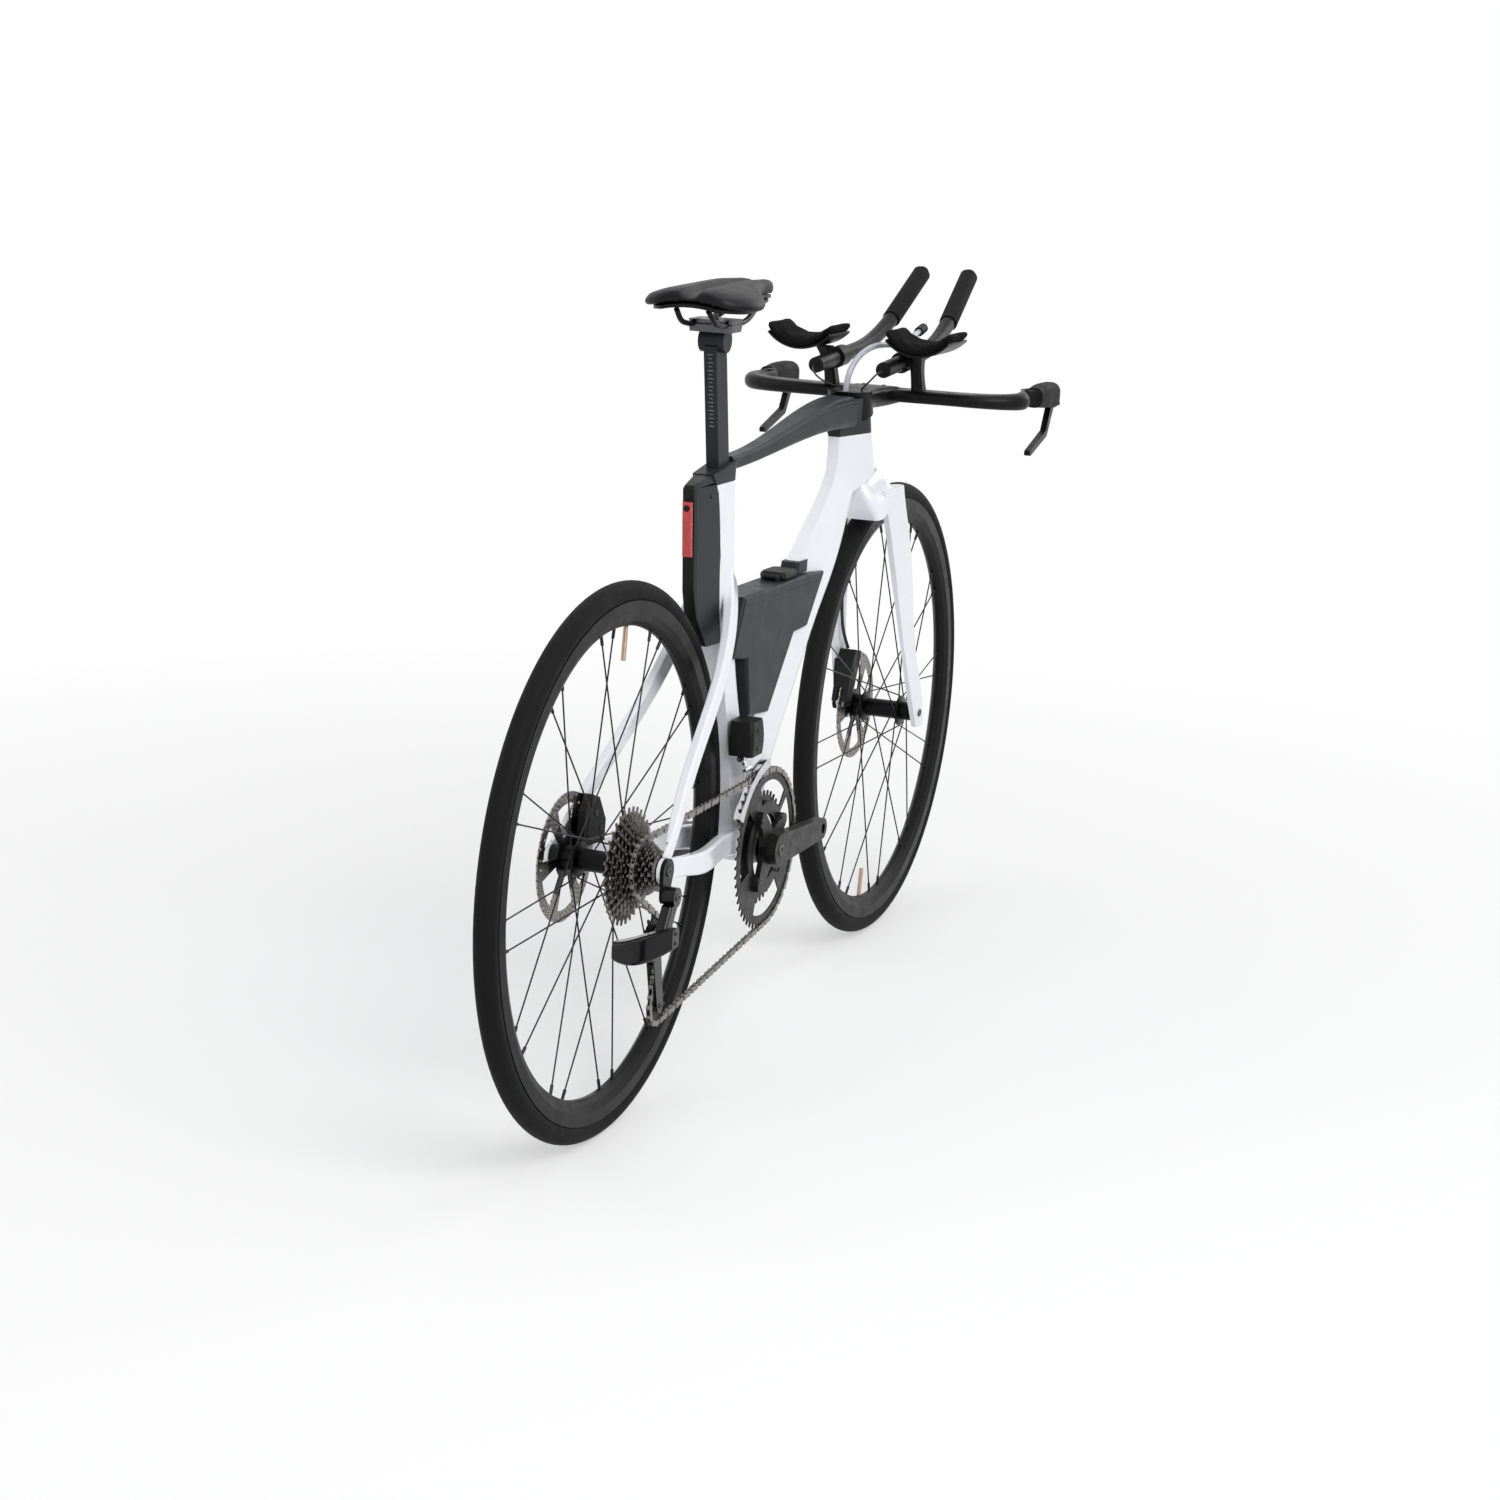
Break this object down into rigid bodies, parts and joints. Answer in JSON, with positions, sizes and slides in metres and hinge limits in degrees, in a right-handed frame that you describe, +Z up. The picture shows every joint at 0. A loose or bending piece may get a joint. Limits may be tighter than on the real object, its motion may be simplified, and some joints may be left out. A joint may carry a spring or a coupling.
{
  "type": "time trial bike",
  "caption": "Time trial bicycle with bladed frame tubes, base bar with arm rests and extensions, disc brakes, electronic shifting and built-in drink and storage boxes.",
  "frame": {"origin": "on the ground, midway between the axles, in the frame plane", "axes": "+X forward, +Y to the rider's left, +Z up"},
  "size_m": [1.6846, 0.4426, 1.0142],
  "materials": {
    "pearl_white": "pearl",
    "slate": "satin",
    "tyre": "matte",
    "carbon": "satin",
    "black_alloy": "satin",
    "steel": "brushed",
    "black_plastic": "satin",
    "gloss_black": "gloss",
    "red_lens": "gloss",
    "rubber": "matte",
    "foam": "matte",
    "cover": "satin",
    "hose": "clear",
    "polished": "polished",
    "black_steel": "satin",
    "crank_grey": "satin"
  },
  "bodies": {
    "frame": {"top_tube": "slate", "head_tube": "pearl_white", "down_tube": "pearl_white", "seat_tube": "pearl_white", "seat_stays": "pearl_white", "chain_stays": "pearl_white", "derailleur_hanger": "black_alloy", "frame_bearings": "steel", "drink_reservoir": "slate", "storage_box": "slate", "tail_light": "red_lens", "seatpost_wedge_screw": "steel", "rear_caliper": "black_plastic", "rear_thru_axle": "black_alloy", "front_derailleur_motor": "black_plastic", "rear_derailleur_body": "gloss_black", "chain": "steel"},
    "reservoir_lid": {"reservoir_lid": "black_plastic"},
    "light_button": {"light_button": "black_plastic"},
    "saddle": {"seatpost": "slate", "saddle_padding": "cover", "saddle_shell": "carbon", "saddle_rails": "black_alloy", "saddle_clamp": "steel"},
    "crankset": {"crank_arms": "crank_grey", "chainrings": "crank_grey"},
    "rear_wheel": {"rear_tyre": "tyre", "rear_rim": "carbon", "rear_spokes": "black_steel", "rear_hub": "black_alloy", "rear_rotor": "steel"},
    "cassette": {"cassette": "steel"},
    "front_shift_link": {"front_derailleur_link": "polished"},
    "front_shift_cage": {"front_derailleur_cage": "polished"},
    "rear_shift_link": {"rear_derailleur_link": "gloss_black"},
    "rear_shift_knuckle": {"rear_derailleur_knuckle": "gloss_black"},
    "rear_cage": {"derailleur_cage": "gloss_black"},
    "guide_pulley": {"guide_pulley": "black_plastic"},
    "tension_pulley": {"tension_pulley": "black_plastic"},
    "steering": {"fork": "pearl_white", "cockpit": "carbon", "lever_hoods": "rubber", "extensions": "carbon", "extension_grips": "rubber", "extension_brackets": "carbon", "arm_pads": "foam", "drink_hose": "hose", "bite_valve": "black_plastic", "cockpit_cables": "black_plastic", "front_caliper": "black_plastic", "front_thru_axle": "black_alloy"},
    "front_wheel": {"front_tyre": "tyre", "front_rim": "carbon", "front_spokes": "black_steel", "front_hub": "black_alloy", "front_rotor": "steel"},
    "left_lever": {"brake_lever_left": "black_alloy"},
    "right_lever": {"brake_lever_right": "black_alloy"},
    "left_button": {"shift_button_left": "black_plastic"},
    "right_button": {"shift_button_right": "black_plastic"}
  },
  "joints": [
    {"name": "steering", "type": "hinge", "parent": "frame", "child": "steering", "pos_m": [0.45938, 0, 0.32647], "axis": [-0.3007, 0, 0.9537], "range_deg": [-40, 40]},
    {"name": "front_wheel_spin", "type": "hinge", "parent": "steering", "child": "front_wheel", "pos_m": [0.5023, 0, 0.34], "axis": [0, 1, 0], "continuous": true},
    {"name": "rear_wheel_spin", "type": "hinge", "parent": "frame", "child": "rear_wheel", "pos_m": [-0.5023, 0, 0.34], "axis": [0, 1, 0], "continuous": true},
    {"name": "crank_spin", "type": "hinge", "parent": "frame", "child": "crankset", "pos_m": [-0.09144, 0, 0.2687], "axis": [0, 1, 0], "continuous": true, "deforming": ["chain"]},
    {"name": "cassette_spin", "type": "hinge", "parent": "frame", "child": "cassette", "pos_m": [-0.5023, 0, 0.34], "axis": [0, 1, 0], "continuous": true, "deforming": ["chain"]},
    {"name": "front_shift", "type": "hinge", "parent": "frame", "child": "front_shift_link", "pos_m": [-0.15244, -0.0345, 0.4021], "axis": [1, 0, 0], "range_deg": [0, 27], "deforming": ["chain"]},
    {"name": "front_shift_level", "type": "hinge", "parent": "front_shift_link", "child": "front_shift_cage", "pos_m": [-0.15244, -0.0416, 0.3872], "axis": [1, 0, 0], "range_deg": [-27, 0], "deforming": ["chain"]},
    {"name": "rear_shift", "type": "hinge", "parent": "frame", "child": "rear_shift_link", "pos_m": [-0.5203, -0.069, 0.252], "axis": [0, 0, 1], "range_deg": [-30, 33], "deforming": ["chain"]},
    {"name": "rear_shift_level", "type": "hinge", "parent": "rear_shift_link", "child": "rear_shift_knuckle", "pos_m": [-0.4903, -0.066, 0.252], "axis": [0, 0, 1], "range_deg": [-33, 30], "deforming": ["chain"]},
    {"name": "chain_tension", "type": "hinge", "parent": "rear_shift_knuckle", "child": "rear_cage", "pos_m": [-0.4683, 0, 0.25], "axis": [0, 1, 0], "range_deg": [-25, 30], "stiffness_Nm_per_rad": 1.5, "deforming": ["chain"]},
    {"name": "guide_pulley_spin", "type": "hinge", "parent": "rear_cage", "child": "guide_pulley", "pos_m": [-0.4683, 0, 0.25], "axis": [0, 1, 0], "continuous": true, "deforming": ["chain"]},
    {"name": "tension_pulley_spin", "type": "hinge", "parent": "rear_cage", "child": "tension_pulley", "pos_m": [-0.44839, 0, 0.15302], "axis": [0, 1, 0], "continuous": true, "deforming": ["chain"]},
    {"name": "left_brake", "type": "hinge", "parent": "steering", "child": "left_lever", "pos_m": [0.60986, 0.206, 0.80588], "axis": [0, 1, 0], "range_deg": [0, 20], "stiffness_Nm_per_rad": 3},
    {"name": "right_brake", "type": "hinge", "parent": "steering", "child": "right_lever", "pos_m": [0.60986, -0.206, 0.80588], "axis": [0, 1, 0], "range_deg": [0, 20], "stiffness_Nm_per_rad": 3},
    {"name": "left_shift_button", "type": "slide", "parent": "steering", "child": "left_button", "axis": [-0.8772, 0.0539, -0.4771], "range_m": [0, 0.0015], "stiffness_N_per_m": 800},
    {"name": "right_shift_button", "type": "slide", "parent": "steering", "child": "right_button", "axis": [-0.8772, -0.0539, -0.4771], "range_m": [0, 0.0015], "stiffness_N_per_m": 800},
    {"name": "tail_light_button", "type": "slide", "parent": "frame", "child": "light_button", "axis": [1, 0, 0], "range_m": [0, 0.001], "stiffness_N_per_m": 800},
    {"name": "lid_hinge", "type": "hinge", "parent": "frame", "child": "reservoir_lid", "pos_m": [0.01294, 0, 0.61157], "axis": [0, -1, 0], "range_deg": [0, 110]},
    {"name": "seatpost_height", "type": "slide", "parent": "frame", "child": "saddle", "axis": [-0.1561, 0, 0.9877], "range_m": [-0.008, 0.035]}
  ],
  "couplings": [
    {"joint": "cassette_spin", "follows": "crank_spin", "ratio": 3.0588},
    {"joint": "guide_pulley_spin", "follows": "crank_spin", "ratio": -4.7273},
    {"joint": "tension_pulley_spin", "follows": "crank_spin", "ratio": 4.7273},
    {"joint": "front_shift_level", "follows": "front_shift", "ratio": -1},
    {"joint": "rear_shift_level", "follows": "rear_shift", "ratio": -1}
  ]
}
